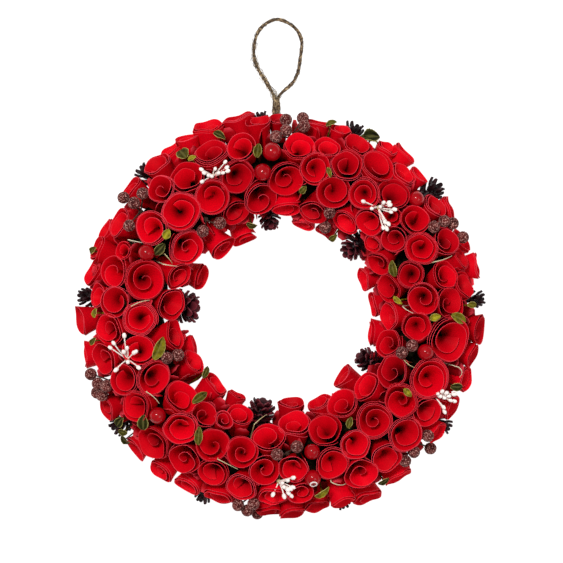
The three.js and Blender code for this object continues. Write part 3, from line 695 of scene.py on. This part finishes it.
def hang_loop():
    route = smooth_route([[x, LOOP_START + beyond, z] for x, beyond, z in LOOP_ROUTE], YARN_STEPS)
    legs = [place for place in LOOP_ROUTE if place[1] == NECK_BEYOND]
    middle = (legs[0][0] + legs[1][0]) / 2
    squeeze = NECK_SQUEEZE * np.exp(-((route[:, 1] - LOOP_START - NECK_BEYOND) / NECK_REACH) ** 2)
    route[:, 0] = middle + (route[:, 0] - middle) * (1 - squeeze)
    yarn = Piece()
    uneven = np.array([noise.noise(Vector(place) * YARN_UNEVEN_SCALE) for place in route])
    radii = TWINE_DIAMETER / 2 * (1 + YARN_UNEVEN * uneven) * (1 - squeeze * NECK_THINNING)
    tube(yarn, route, radii, YARN_SIDES, lobes=YARN_LOBES, lobe_depth=YARN_GROOVE, pitch=YARN_PITCH)
    loop = yarn.build("twine_loop", JUTE, ["hanging_loop"])

    yarn_radius = TWINE_DIAMETER / 2 * (1 - NECK_SQUEEZE * NECK_THINNING)
    half_wide = abs(legs[0][0] - legs[1][0]) / 2 * (1 - NECK_SQUEEZE) + yarn_radius
    half_tall = yarn_radius
    wraps = Piece()
    turns = np.linspace(0, 2 * math.pi * WRAP_TURNS, WRAP_TURNS * WRAP_STEPS)
    start = LOOP_START + NECK_BEYOND - BINDING_LENGTH / 2 + WRAP_RADIUS
    climb = (BINDING_LENGTH - 2 * WRAP_RADIUS) * turns / turns[-1]
    coil = np.stack([middle + half_wide * np.cos(turns), start + climb,
                     legs[0][2] + half_tall * np.sin(turns)], axis=1)
    tube(wraps, coil, WRAP_RADIUS, WRAP_SIDES, tone=WRAP_TONE)
    binding = wraps.build("twine_binding", JUTE, ["loop_binding"])

    rng = random.Random(SEED)
    hairs = Piece()
    for _ in range(FIBRE_COUNT):
        frayed = rng.random() < FRAYED_SHARE
        part, lengths, strays = FRAYED_FIBRES if frayed else PLAIN_FIBRES
        share = rng.uniform(*part)
        k = int(share * len(route))
        along = route[k + 1] - route[k - 1]
        along /= np.linalg.norm(along)
        lean = np.array([rng.uniform(-1, 1), rng.uniform(-1, 1), rng.uniform(-0.1, 0.9)])
        lean -= along * (lean @ along)
        lean /= np.linalg.norm(lean)
        length = rng.uniform(*lengths)
        run = rng.choice((-1, 1)) * rng.uniform(0.5, 0.95)
        steps = np.linspace(0, 1, FIBRE_STEPS)[:, None]
        foot = route[k] + lean * TWINE_DIAMETER * 0.42
        stray = rng.uniform(*strays)
        hair = foot + along * run * length * steps + lean * stray * np.sin(steps * 2.2)
        hair[:, 2] = np.maximum(hair[:, 2], FIBRE_RADIUS)
        tube(hairs, hair, FIBRE_RADIUS * rng.uniform(0.7, 1.5), FIBRE_SIDES, tone=rng.random())
    for _ in range(NECK_FIBRES):
        turn = rng.uniform(0, 2 * math.pi)
        top = start + BINDING_LENGTH * rng.uniform(0.3, 1.1)
        down = np.linspace(0, 1, FIBRE_STEPS)
        fall = BINDING_LENGTH * rng.uniform(0.5, 0.9) * down
        spread = NECK_SPREAD * rng.uniform(0.2, 1) * down ** 1.5
        hair = np.stack([middle + (half_wide + WRAP_RADIUS + spread) * math.cos(turn), top - fall,
                         legs[0][2] + (half_tall + WRAP_RADIUS + spread) * math.sin(turn)], axis=1)
        hair[:, 2] = np.maximum(hair[:, 2], FIBRE_RADIUS * 2)
        tube(hairs, hair, FIBRE_RADIUS * rng.uniform(0.8, 1.8), FIBRE_SIDES, tone=rng.random())
    fibres = hairs.build("twine_fibres", JUTE)

    length = float(np.sum(np.linalg.norm(np.diff(route, axis=0), axis=1))) * MM


hang_loop()


# Moss ring with a flat back
RING_ROUND_STEPS = 300
RING_SECTION_STEPS = 26
MOSS_ROUGHNESS = 1.6
TUFT_SCALE = 0.35
STRAND_SCALE = 1.1
STRAND_SHARE = 0.6


def moss_ring():
    rise = RING_HEIGHT - CORE_HEIGHT
    back_turn = math.asin(CORE_HEIGHT / rise)
    grid = []
    for k in range(RING_ROUND_STEPS):
        clock = 2 * math.pi * k / RING_ROUND_STEPS
        row = []
        for s in range(RING_SECTION_STEPS):
            turn = -back_turn + s / (RING_SECTION_STEPS - 1) * (math.pi + 2 * back_turn)
            out = RING_RADIUS + RING_WIDTH / 2 * math.cos(turn)
            height = CORE_HEIGHT + rise * math.sin(turn)
            place = np.array([out * math.sin(clock), out * math.cos(clock), max(height, 0.0)])
            if 0 < s < RING_SECTION_STEPS - 1:
                rough = noise.noise(Vector(place) * TUFT_SCALE)
                rough += STRAND_SHARE * noise.noise(Vector(place) * STRAND_SCALE)
                place = place + outward(clock, turn) * rough * MOSS_ROUGHNESS
                place[2] = max(place[2], 0.0)
            row.append(place)
        grid.append(row)
    faces = []
    for k in range(RING_ROUND_STEPS):
        after = (k + 1) % RING_ROUND_STEPS
        for s in range(RING_SECTION_STEPS):
            beside = (s + 1) % RING_SECTION_STEPS
            faces.append([k * RING_SECTION_STEPS + s, after * RING_SECTION_STEPS + s,
                          after * RING_SECTION_STEPS + beside, k * RING_SECTION_STEPS + beside])
    ring = Piece()
    ring.add(np.array(grid), faces)
    ring.build("moss_ring", MOSS, ["ring_base"])


moss_ring()


# Roses: each a strip rolled from a small curl into a wide bowl, then wrapped lower round the outside
SHAVING = 0.32
ROWS_UP = np.array([0.0, 0.25, 0.5, 0.7, 0.86, 0.985, 1.0])
# Rows of the strip that carry the painted highlight along the rim
RIM_HIGHLIGHT_MARK = np.array([0, 0, 0, 0, 0, 0, 1.0])
STEPS_PER_TURN = 32
RIM_STAGGER = 1.6
LEAN = 0.19
ROSE_SPREAD = 1.07
CURL_SHARES = (0.15, 0.35, 0.45, 0.55)
CURL_TURNS = (0.8, 1.35)
CURL_POWERS = (1.0, 1.6)
CURL_SINK = (0.2, 0.6)
CURL_BULGE = (0.95, 1.25)
CURL_FOOT = 0.1
BOWL_DEPTHS = (0.9, 1.8)
ROSE_WRAPS = (1.1, 2.3)
WRAP_GAPS = (0.035, 0.075)
WRAP_DROP = (0.12, 0.34)
WRAP_BULGE = (0.6, 0.8)
ROSE_LOBES = (2, 3, 3, 4, 5)
RIPPLE = 0.032
CRIMP = 0.005
CRIMP_LOBES = 7
WAVE = 0.06
WAVE_LOBES = (2, 3, 4)
TAIL_START = 0.88
TAIL_DROP = 0.35
OFF_ROUND = (0.9, 1.0)
# How fast the painted shade fades out of the bowls, each rose's random tone, and the strength of the
# painted rim highlight
SHADE_POWERS = (0.35, 1.4)
ROSE_TONES = (0.5, 1.0)
RIM_HIGHLIGHT_STRENGTHS = (0.35, 0.95)
LIP = 0.07
PETAL_TRIES = 900
PETAL_WIDTH = 19
PETAL_WIDTHS = (0.75, 1.0)
PETAL_FLARE = (0.35, 1.0)
PETAL_SINK = (-6, -1)
PETAL_CUP = (3, 6)
PETAL_BEND = (-3, 3)
PETAL_ROWS = 8
PETAL_COLUMNS = 9
PETAL_RIM_HIGHLIGHT = 0.6
PETAL_RADIUS = 4.0
# Loose petals in the gaps get dark random tones, painted shade between the roses
PETAL_SHADE_TONES = (0.15, 0.7)
PETAL_GAP = 10
TURNED_UP = 0.26
BIG_ROSE = 15
BIG_ROSE_WRAPS = 0.9
# Share of the radius out to which the painted shade darkens each bowl
DEEP_SHARE = 0.58
SKIRT_PETALS = {"outer": 74, "inner": 40}
SKIRT_SHIFT = 0.3
SKIRT_LIFT = 0.3
SKIRT_DROP = 5
# Skirt petals at the ring's edges get dark random tones, painted shade under the roses
SKIRT_SHADE_TONES = (0.2, 0.55)
SKIRT_SPINS = (-0.5, 0.5)
EDGE_LIFT = 0.55


def turn_onto(axis):
    axis = Vector(axis)
    return np.array(axis.to_track_quat("Z", "Y").to_matrix())


def blend(first, second, share):
    return first + (second - first) * share


def rolled_rose(piece, rose, rng):
    radius = ROSE_SPREAD * (rose.fitted + rose.radius) / 2
    stagger = rng.uniform(-RIM_STAGGER, RIM_STAGGER)
    height = rose.reach - FOOT_REACH + stagger
    curl = rng.uniform(*CURL_TURNS)
    wraps = rng.uniform(*ROSE_WRAPS) + (BIG_ROSE_WRAPS if radius > BIG_ROSE else 0)
    turns = curl + wraps
    hand = rng.choice((-1, 1))
    along = np.linspace(0, turns, int(turns * STEPS_PER_TURN))[:, None]
    up = ROWS_UP[None, :]
    angle = rng.uniform(0, 2 * math.pi) + hand * 2 * math.pi * along
    inner = np.clip(along / curl, 0, 1)
    outer = np.clip((along - curl) / (turns - curl), 0, 1)
    bowl = 1 - wraps * rng.uniform(*WRAP_GAPS)
    spread = blend(rng.choice(CURL_SHARES), bowl, inner ** rng.uniform(*CURL_POWERS)) + (1 - bowl) * outer
    lobes = rng.choice(ROSE_LOBES)
    ripple = RIPPLE * np.sin(lobes * angle + rng.uniform(0, 6)) + CRIMP * np.sin(CRIMP_LOBES * angle)
    wave = WAVE * radius * np.sin(rng.choice(WAVE_LOBES) * angle + rng.uniform(0, 6))
    sink = rng.uniform(*CURL_SINK) * radius * (1 - inner) ** 1.2
    drop = rng.uniform(*WRAP_DROP) * radius * outer
    tail = TAIL_DROP * radius * np.clip((outer - TAIL_START) / (1 - TAIL_START), 0, 1) ** 2
    rim = wave * inner - sink - drop - tail
    deep = blend(blend(*BOWL_DEPTHS, inner) * radius, height, np.clip(outer * 3, 0, 1))
    wrapped = np.clip(outer * 2, 0, 1)
    foot = blend(CURL_FOOT, ROSE_FOOT_SHARE + CURL_FOOT, wrapped)
    bulge = blend(rng.uniform(*CURL_BULGE), rng.uniform(*WRAP_BULGE), wrapped)
    flare = foot + (1 - foot) * up ** bulge
    out = radius * spread * (1 + ripple * up + LIP * up ** 8) * flare
    rise = rim * up - deep * (1 - up)
    off_round = rng.uniform(*OFF_ROUND)
    local = np.stack([out * np.cos(angle), off_round * out * np.sin(angle), rise], axis=2)
    axis = rose.axis() + np.array([rng.uniform(-LEAN, LEAN) for _ in range(3)])
    axis[2] += TURNED_UP * max(0.0, 1 - rose.edge_lift() / EDGE_LIFT)
    axis /= np.linalg.norm(axis)
    grid = local @ turn_onto(axis).T + rose.place(rose.reach + stagger)
    grid[:, :, 2] = np.maximum(grid[:, :, 2], BED_EDGE)
    if hand < 0:
        grid = grid[::-1]
    # Painted shade: the tone darkens towards the middle of each bowl, out to DEEP_SHARE of its radius, on
    # top of a random tone of its own for each rose
    shade = np.clip(out / (DEEP_SHARE * radius), 0, 1) ** rng.uniform(*SHADE_POWERS)
    tone = rng.uniform(*ROSE_TONES) * (shade[::-1] if hand < 0 else shade)
    # The top row of the strip carries the painted rim highlight, at a random strength
    sheet(piece, grid, SHAVING, RIM_HIGHLIGHT_MARK[None, :] * rng.uniform(*RIM_HIGHLIGHT_STRENGTHS), tone)


# Loose petals standing in the gaps
def petal(piece, thing, rng, spin, tone):
    top = thing.reach + rng.uniform(*PETAL_SINK)
    along = np.linspace(0, 1, PETAL_ROWS)[:, None]
    across = np.linspace(-1, 1, PETAL_COLUMNS)[None, :]
    rounding = np.sqrt(np.clip(1 - (np.clip(along - 0.6, 0, 1) / 0.42) ** 2, 0.02, 1))
    width = PETAL_WIDTH / 2 * rng.uniform(*PETAL_WIDTHS) * blend(*PETAL_FLARE, along) * rounding
    side = across * width
    back = rng.uniform(*PETAL_CUP) * (1 - across ** 2) * width / PETAL_WIDTH
    back = back + rng.uniform(*PETAL_BEND) * along ** 2
    rise = -(top - FOOT_REACH) * (1 - along) + 0 * across
    local = np.stack([side * math.cos(spin) - back * math.sin(spin),
                      side * math.sin(spin) + back * math.cos(spin), rise], axis=2)
    grid = local @ turn_onto(thing.axis()).T + thing.place(top)
    grid[:, :, 2] = np.maximum(grid[:, :, 2], BED_EDGE)
    # The petal's top row carries the painted rim highlight
    edge = np.zeros((PETAL_ROWS, PETAL_COLUMNS))
    edge[-1, :] = PETAL_RIM_HIGHLIGHT
    # Painted shade: the tone darkens towards the petal's foot down among the roses
    sheet(piece, grid, SHAVING, edge, tone * along + 0 * across)


def hour_of(thing):
    return (round(thing.clock * 6 / math.pi) + 12) % 12


def rose_clusters():
    rng = random.Random(SEED)
    petals = []
    for _ in range(PETAL_TRIES):
        thing = Seat(rng.uniform(-math.pi, math.pi), rng.uniform(0, math.pi), PETAL_RADIUS)
        free = all(apart(thing, rose) > rose.fitted + 1 for rose in roses)
        free = free and all(apart(thing, pick) > pick.radius + 2 for pick in picks)
        if free and all(apart(thing, other) > PETAL_GAP for other in petals):
            petals.append(thing)
    skirt = []
    for side, count in SKIRT_PETALS.items():
        for k in range(count):
            clock = 2 * math.pi * (k + rng.uniform(-SKIRT_SHIFT, SKIRT_SHIFT)) / count - math.pi
            lift = rng.uniform(0.0, SKIRT_LIFT)
            reach = ROSE_REACH - rng.uniform(0, SKIRT_DROP)
            lift = lift if side == "outer" else math.pi - lift
            skirt.append(Seat(clock, lift, PETAL_RADIUS, reach))
    for hour in range(12):
        cluster = Piece()
        for rose in roses:
            if hour_of(rose) == hour:
                rolled_rose(cluster, rose, rng)
        for group, spins, tones in ((petals, (0, 2 * math.pi), PETAL_SHADE_TONES),
                                    (skirt, SKIRT_SPINS, SKIRT_SHADE_TONES)):
            for thing in group:
                if hour_of(thing) == hour:
                    petal(cluster, thing, rng, rng.uniform(*spins), rng.uniform(*tones))
        name = f"{hour or 12:02d}_oclock"
        cluster.build(f"rose_cluster_{name}", ROSE_WOOD, [f"roses_{name}"])


rose_clusters()


# Berries, one of which shows the ring of its dried flower
BERRY_STEPS = 20
BERRY_SIDES = 28
BERRY_STRETCH = 1.04
RINGED_BERRY = 5
CALYX_DIRECTION = (0.1, -0.75, 0.65)
CALYX_RADIUS = 2.9
CALYX_THICKNESS = 0.75
CALYX_HEART = 1.3


def calyx(piece, berry):
    axis = np.array(CALYX_DIRECTION) / np.linalg.norm(CALYX_DIRECTION)
    middle = berry.place() + axis * math.sqrt(berry.fitted ** 2 - CALYX_RADIUS ** 2)
    turns = np.linspace(0, 2 * math.pi, 33)
    around = np.stack([CALYX_RADIUS * np.cos(turns), CALYX_RADIUS * np.sin(turns), 0 * turns], axis=1)
    tube(piece, middle + around @ turn_onto(axis).T, CALYX_THICKNESS, 8, tone=1.0)
    turned(piece, middle, axis, ball_profile(CALYX_HEART, 6), 10, [1.0] * 7)


def glossy_berries():
    for k, berry in enumerate(berries):
        piece = Piece()
        profile = ball_profile(berry.fitted, BERRY_STEPS, BERRY_STRETCH)
        marks = [0.0] * BERRY_STEPS + [0.7]
        turned(piece, berry.place(), berry.axis(), profile, BERRY_SIDES, marks)
        if k == RINGED_BERRY:
            calyx(piece, berry)
        ends = [berry.place(FOOT_REACH), berry.place(berry.reach - 2)]
        tube(piece, ends, STALK_DIAMETER / 2, 8, edge=1.0)
        piece.build(f"berry_{k + 1}", GLOSSY_RED, [f"glossy_berry_{k + 1}"])


FROST_ROUGHNESS = 0.32
CRYSTAL_SCALE = 9
SUGAR_SCALE = 19
SUGAR_SHARE = 0.8
PIP_SWELL = (1.0, 1.25)


def rough_ball(piece, place, radius, rng):
    shape = bmesh.new()
    bmesh.ops.create_icosphere(shape, subdivisions=4, radius=radius)
    shift = Vector([rng.uniform(0, 50) for _ in range(3)])
    points = []
    for corner in shape.verts:
        direction = corner.co.normalized()
        sugar = noise.noise(direction * CRYSTAL_SCALE + shift)
        sugar += SUGAR_SHARE * noise.noise(direction * SUGAR_SCALE + shift)
        points.append(place + np.array(direction) * (radius + FROST_ROUGHNESS * sugar))
    faces = [[corner.index for corner in face.verts] for face in shape.faces]
    shape.free()
    piece.add(points, faces, 0.0, rng.random())


def bowed(start, end, bow, steps=8):
    t = np.linspace(0, 1, steps)[:, None]
    return start * (1 - t) + end * t + np.asarray(bow) * 4 * t * (1 - t)


# Wire stalk with a knob at its fork
def stalk(piece, foot, fork, axis):
    tube(piece, [foot, fork], STALK_DIAMETER / 2, 8, edge=1.0)
    turned(piece, fork, axis, ball_profile(KNOB_DIAMETER / 2, 8), 10, [1.0] * 9)


def frosted_sprigs():
    rng = random.Random(SEED)
    for k, group in enumerate(sprigs):
        piece = Piece()
        clock = math.atan2(sum(math.sin(b.clock) for b in group), sum(math.cos(b.clock) for b in group))
        lift = sum(b.lift for b in group) / len(group)
        fork = spot(clock, lift, ROSE_REACH - SPRAY_FORK_DROP * 2)
        stalk(piece, spot(clock, lift, FOOT_REACH), fork, outward(clock, lift))
        for berry in group:
            place = berry.place(berry.reach + FROSTED_RISE)
            rough_ball(piece, place, berry.fitted, rng)
            bow = [rng.uniform(-1, 1) for _ in range(3)]
            tube(piece, bowed(fork, place, bow), WIRE_DIAMETER / 2, 6, edge=1.0)
        piece.build(f"frosted_berries_{k + 1}", FROSTED, [f"frosted_sprig_{k + 1}"])


def pip_sprays():
    rng = random.Random(SEED)
    for k, (spray, root) in enumerate(zip(PIP_SPRAYS, spray_roots)):
        piece = Piece()
        fork = root.place(ROSE_REACH - SPRAY_FORK_DROP)
        stalk(piece, root.place(FOOT_REACH), fork, root.axis())
        for x, y in spray[1:]:
            tip = seat(x, y, PIP_DIAMETER / 2, rise=PIP_RISE).place(ROSE_REACH + PIP_RISE)
            axis = (tip - fork) / np.linalg.norm(tip - fork)
            head = tip - axis * PIP_LENGTH / 2
            bow = [rng.uniform(-0.8, 0.8) for _ in range(3)]
            tube(piece, bowed(fork, head, bow), PIP_STEM_DIAMETER * 0.6, 6, edge=0.1)
            swell = rng.uniform(*PIP_SWELL)
            profile = ball_profile(PIP_DIAMETER / 2 * swell, 10, PIP_LENGTH / PIP_DIAMETER)
            turned(piece, head, axis, profile, 12)
        piece.build(f"pips_{k + 1}", PIP_WHITE, [f"pip_spray_{k + 1}"])


# Cones: scales set in a spiral on a tapered core
SCALES = 38
SCALE_WIDTH = 0.33
OPEN_SCALES = 18
OPEN_SCALE_WIDTH = 0.22
SCALE_SHEET = 1.1
OPEN_SCALE_SHEET = 2.0
GOLDEN_TURN = math.pi * (3 - math.sqrt(5))


def cone_scale(piece, foot, axis, side, length, width, droop, tip_highlight, thickness):
    across = np.cross(axis, side)
    t = np.linspace(0, 1, 5)[:, None]
    s = np.linspace(-1, 1, 4)[None, :]
    half = width / 2 * (0.35 + 1.3 * t - 1.1 * t ** 3)
    out = length * t + 0 * s
    rise = length * (droop * t ** 2 + 0.18 * (1 - s ** 2) * t)
    grid = (foot + out[..., None] * side + rise[..., None] * axis
            + (half * s)[..., None] * across)
    # Painted highlight: each scale turns lighter red towards its tip, far stronger on the inner cones
    # than on the open ones
    edge = np.array([0, 0, 0.15, 0.55, 1.0])[:, None] * tip_highlight * np.ones((1, 4))
    sheet(piece, grid, thickness, edge, 0.5)


def cone_picks():
    rng = random.Random(SEED)
    for k, thing in enumerate(cones):
        piece = Piece()
        axis = thing.axis()
        frame_turn = turn_onto(axis)
        width = thing.fitted * 2
        base = thing.place(ROSE_REACH + CONE_RISE - CONE_LENGTH)
        tube(piece, [thing.place(FOOT_REACH), base + axis * 2], STALK_DIAMETER / 2, 8)
        core = [(0, 0), (width * 0.16, 1), (width * 0.2, CONE_LENGTH * 0.3),
                (width * 0.13, CONE_LENGTH * 0.7), (width * 0.05, CONE_LENGTH * 0.92),
                (0, CONE_LENGTH * 0.95)]
        turned(piece, base, axis, core, 10)
        is_open = k < len(OUTER_CONES)
        scales = OPEN_SCALES if is_open else SCALES
        scale_width = width * (OPEN_SCALE_WIDTH if is_open else SCALE_WIDTH)
        for n in range(scales):
            share = (n + 0.5) / scales
            turn = n * GOLDEN_TURN
            side = frame_turn @ np.array([math.cos(turn), math.sin(turn), 0.0])
            height = CONE_LENGTH * (0.04 + 0.86 * share)
            wide = width / 2 * math.sin(math.pi * (0.22 + 0.68 * share)) ** 0.8
            foot = base + axis * height + side * width * 0.08
            droop = 0.25 + 0.95 * share if is_open else -0.25 + 1.25 * share ** 1.5
            cone_scale(piece, foot, axis, side, wide * rng.uniform(0.78, 0.95), scale_width, droop,
                       rng.uniform(0.0, 0.1 if is_open else 1.0),
                       OPEN_SCALE_SHEET if is_open else SCALE_SHEET)
        piece.build(f"small_cone_{k + 1}", CONE_BROWN, [f"cone_{k + 1}"])


# Leaves: pointed blades with a folded midrib and a pale edge
LEAF_SHEET = 0.4
LEAF_TURNED_UP = 0.9
SMALL_LEAF_RISE = 3
LEAF_ROWS = 26
LEAF_RAGGED = 0.06
LEAF_FOLDS = (0.2, 0.6)
LEAF_CURLS = (0.04, 0.2)
LEAF_TWIST = 0.5
LEAF_TIP = 0.15
LEAF_COLUMNS = (-1, -0.93, -0.65, -0.3, 0, 0.3, 0.65, 0.93, 1)
LEAF_EDGE = (0.8, 0.1, 0, 0, 0.15, 0, 0, 0.1, 0.8)


def blade(piece, place, axis, length, width, turn, tone, rng):
    turn_to = np.array(Vector((0, 1, 0)).rotation_difference(Vector(axis)).to_matrix())
    forward = turn_to @ np.array([math.cos(turn), 0.0, -math.sin(turn)])
    across = np.cross(axis, forward)
    t = np.linspace(0.02, 0.98, LEAF_ROWS)[:, None]
    s = np.array(LEAF_COLUMNS)[None, :]
    ragged = np.array([rng.uniform(-1, 1) for _ in range(LEAF_ROWS)])[:, None]
    bitten = 1 + LEAF_RAGGED * ragged * np.abs(s) ** 3
    half = width / 2 * np.sin(math.pi * t ** 0.85) ** 0.8 * bitten + LEAF_TIP
    fold = rng.uniform(*LEAF_FOLDS)
    curl = rng.uniform(*LEAF_CURLS)
    twist = rng.uniform(-LEAF_TWIST, LEAF_TWIST)
    out = length * (t - 0.5) + 0 * s
    rise = half * fold * np.abs(s) ** 1.5 - length * curl * (2 * t - 1) ** 2
    rise = rise + 0.25 * np.sin(t * 14 + s * 3) + half * s * twist * (t - 0.5)
    grid = (place + out[..., None] * forward + rise[..., None] * np.asarray(axis)
            + (half * s)[..., None] * across)
    veins = 0.12 * tone * (np.sin(t * 60 - np.abs(s) * 7) > 0.75) * (np.abs(s) < 0.95)
    edge = np.maximum(np.array(LEAF_EDGE)[None, :], veins)
    sheet(piece, grid, LEAF_SHEET, edge, tone)


def leaf_pieces():
    rng = random.Random(SEED)
    for k, (thing, (_, _, length, width, turn, tone)) in enumerate(zip(leaf_seats, LEAVES)):
        piece = Piece()
        place = thing.place(ROSE_REACH + LEAF_RISE)
        blade(piece, place, thing.axis(), length * PLAN_SCALE, width * PLAN_SCALE, turn, tone, rng)
        tube(piece, [thing.place(FOOT_REACH), place], 0.7, 6)
        piece.build(f"olive_leaf_{k + 1}", LEAF_GREEN, [f"leaf_{k + 1}"])
    small = Piece()
    for x, y, length, width, turn, tone in SMALL_LEAVES:
        thing = seat(x, y, STALK_DIAMETER)
        place = thing.place(ROSE_REACH + SMALL_LEAF_RISE)
        axis = thing.axis() + np.array([0.0, 0.0, LEAF_TURNED_UP])
        axis /= np.linalg.norm(axis)
        blade(small, place, axis, length * PLAN_SCALE, width * PLAN_SCALE, turn, tone, rng)
        tube(small, [thing.place(FOOT_REACH), place], 0.6, 6, tone=tone)
    small.build("small_leaves", LEAF_GREEN)
    twigs = Piece()
    for x0, y0, x1, y1 in TWIGS:
        start, end = seat(x0, y0, 1.0), seat(x1, y1, 1.0)
        rise = ROSE_REACH + LEAF_RISE
        sway = np.array([rng.uniform(-1.6, 1.6), rng.uniform(-1.6, 1.6), 0.0])
        line = np.concatenate([[start.place(FOOT_REACH)],
                               bowed(start.place(rise), end.place(rise), start.axis() * 3 + sway)])
        radii = np.concatenate([[0.5], np.linspace(0.5, 0.25, len(line) - 1)])
        tube(twigs, line, radii, 6, edge=rng.uniform(0.6, 1.0))
    twigs.build("dry_twigs", PIP_WHITE)


glossy_berries()
frosted_sprigs()
pip_sprays()
cone_picks()
leaf_pieces()


# Floor and lights
FLOOR_SIDE = 12
FLOOR_DROP = 0.0005
WORLD_STRENGTH = 0.36
# Name, place, size and power of each lamp
LAMPS = [("key", (-0.5, 0.7, 2.2), 0.5, 41), ("fill", (1.2, -0.5, 1.8), 1.0, 8)]


def studio():
    mesh = bpy.data.meshes.new("floor")
    half = FLOOR_SIDE / 2
    corners = [(-half, -half, 0), (half, -half, 0), (half, half, 0), (-half, half, 0)]
    mesh.from_pydata(corners, [], [[0, 1, 2, 3]])
    mesh.materials.append(floor_white())
    floor = bpy.data.objects.new("floor", mesh)
    floor.location.z = -FLOOR_DROP
    show(floor)

    world = bpy.data.worlds.new("studio")
    world.use_nodes = True
    world.node_tree.nodes["Background"].inputs["Color"].default_value = (1, 1, 1, 1)
    world.node_tree.nodes["Background"].inputs["Strength"].default_value = WORLD_STRENGTH
    bpy.context.scene.world = world
    bpy.context.scene.view_settings.view_transform = "Standard"

    for name, place, size, power in LAMPS:
        data = bpy.data.lights.new(name, "AREA")
        data.size = size
        data.energy = power
        light = bpy.data.objects.new(name, data)
        light.location = place
        light.rotation_euler = (-Vector(place)).to_track_quat("-Z", "Y").to_euler()
        show(light)


studio()
